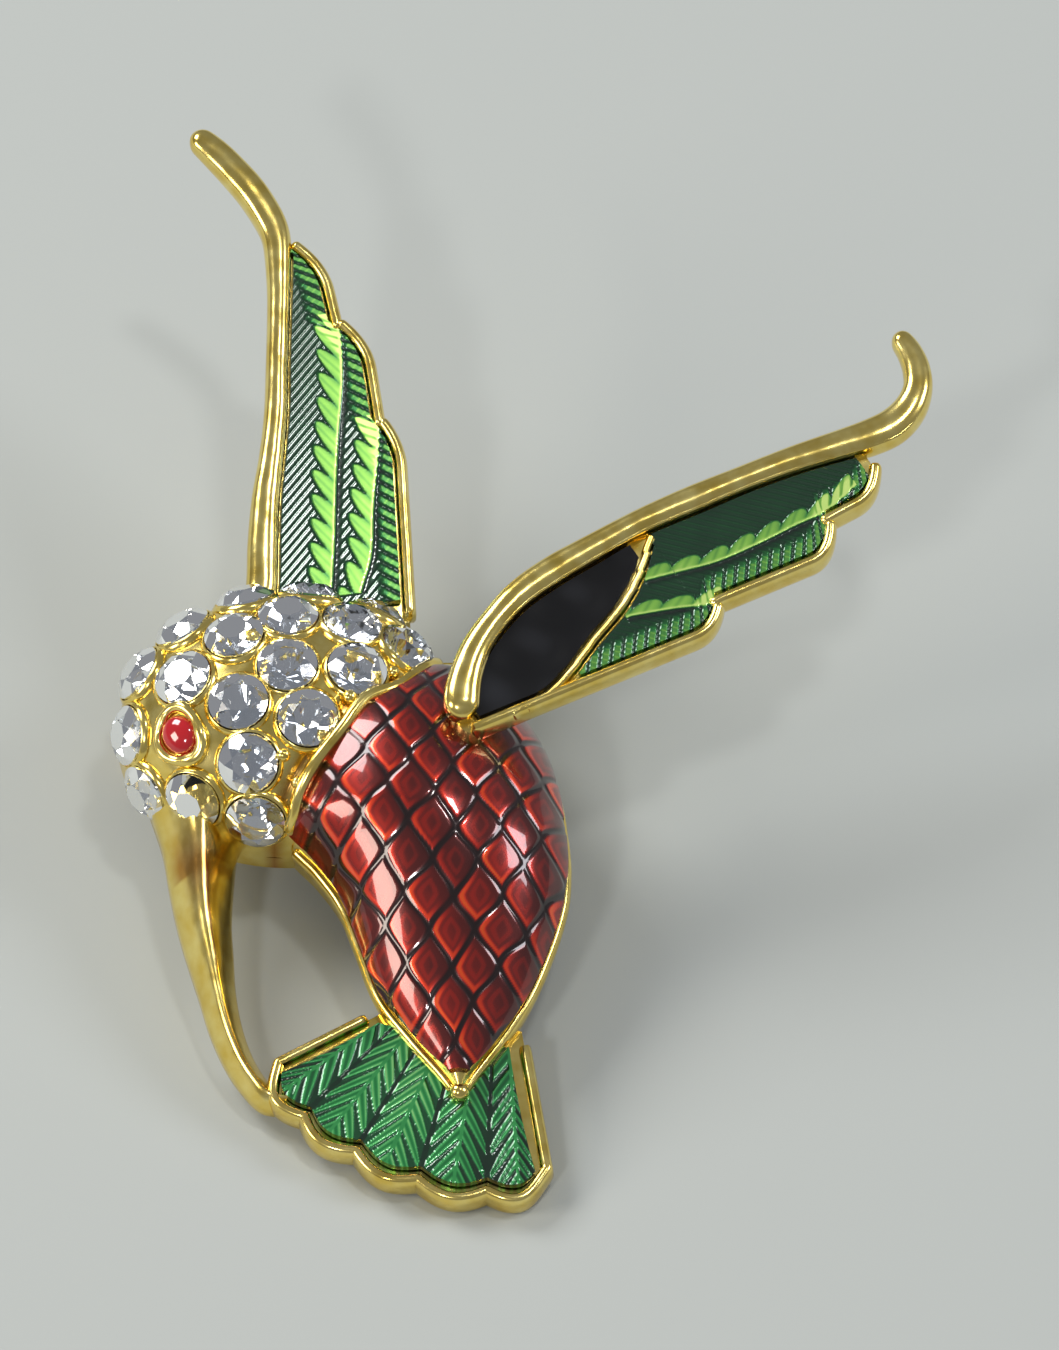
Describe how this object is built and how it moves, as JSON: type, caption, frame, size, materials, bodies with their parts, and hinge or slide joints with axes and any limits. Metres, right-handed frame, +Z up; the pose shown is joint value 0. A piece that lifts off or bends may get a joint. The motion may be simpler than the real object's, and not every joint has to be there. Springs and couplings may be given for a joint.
{
  "type": "figural animal brooch",
  "caption": "Hummingbird brooch with a stone-set head, a long curved beak, enamelled breast, wings and fan tail, and a bar pin behind.",
  "frame": {"origin": "middle of the outline of the brooch as it rests on its back, at the level of the surface under it", "axes": "+Z up, out of the surface; +Y from the tail to the wing tips; +X to the right of a viewer who faces the front"},
  "size_m": [0.041, 0.0572, 0.0173],
  "materials": {
    "gold plating": "polished yellow gold plating",
    "pin plating": "gold plating",
    "red enamel": "glossy translucent enamel",
    "leaf green enamel": "glossy translucent enamel",
    "dark green enamel": "glossy translucent enamel",
    "black enamel": "glossy enamel",
    "ruby enamel": "glossy enamel",
    "clear stone": "cut and polished"
  },
  "bodies": {
    "root": {"casting": "gold plating", "breast_enamel": "red enamel", "tail_enamel": "leaf green enamel", "left_wing_enamel": "dark green enamel", "right_wing_enamel": "dark green enamel", "black_enamel": "black enamel", "eye_enamel": "ruby enamel", "pin_back": "pin plating", "stone_01": "clear stone", "stone_02": "clear stone", "stone_03": "clear stone", "stone_04": "clear stone", "stone_05": "clear stone", "stone_06": "clear stone", "stone_07": "clear stone", "stone_08": "clear stone", "stone_09": "clear stone", "stone_10": "clear stone", "stone_11": "clear stone", "stone_12": "clear stone", "stone_13": "clear stone", "stone_14": "clear stone", "stone_15": "clear stone", "stone_16": "clear stone", "stone_17": "clear stone", "stone_18": "clear stone", "stone_19": "clear stone"}
  },
  "joints": []
}
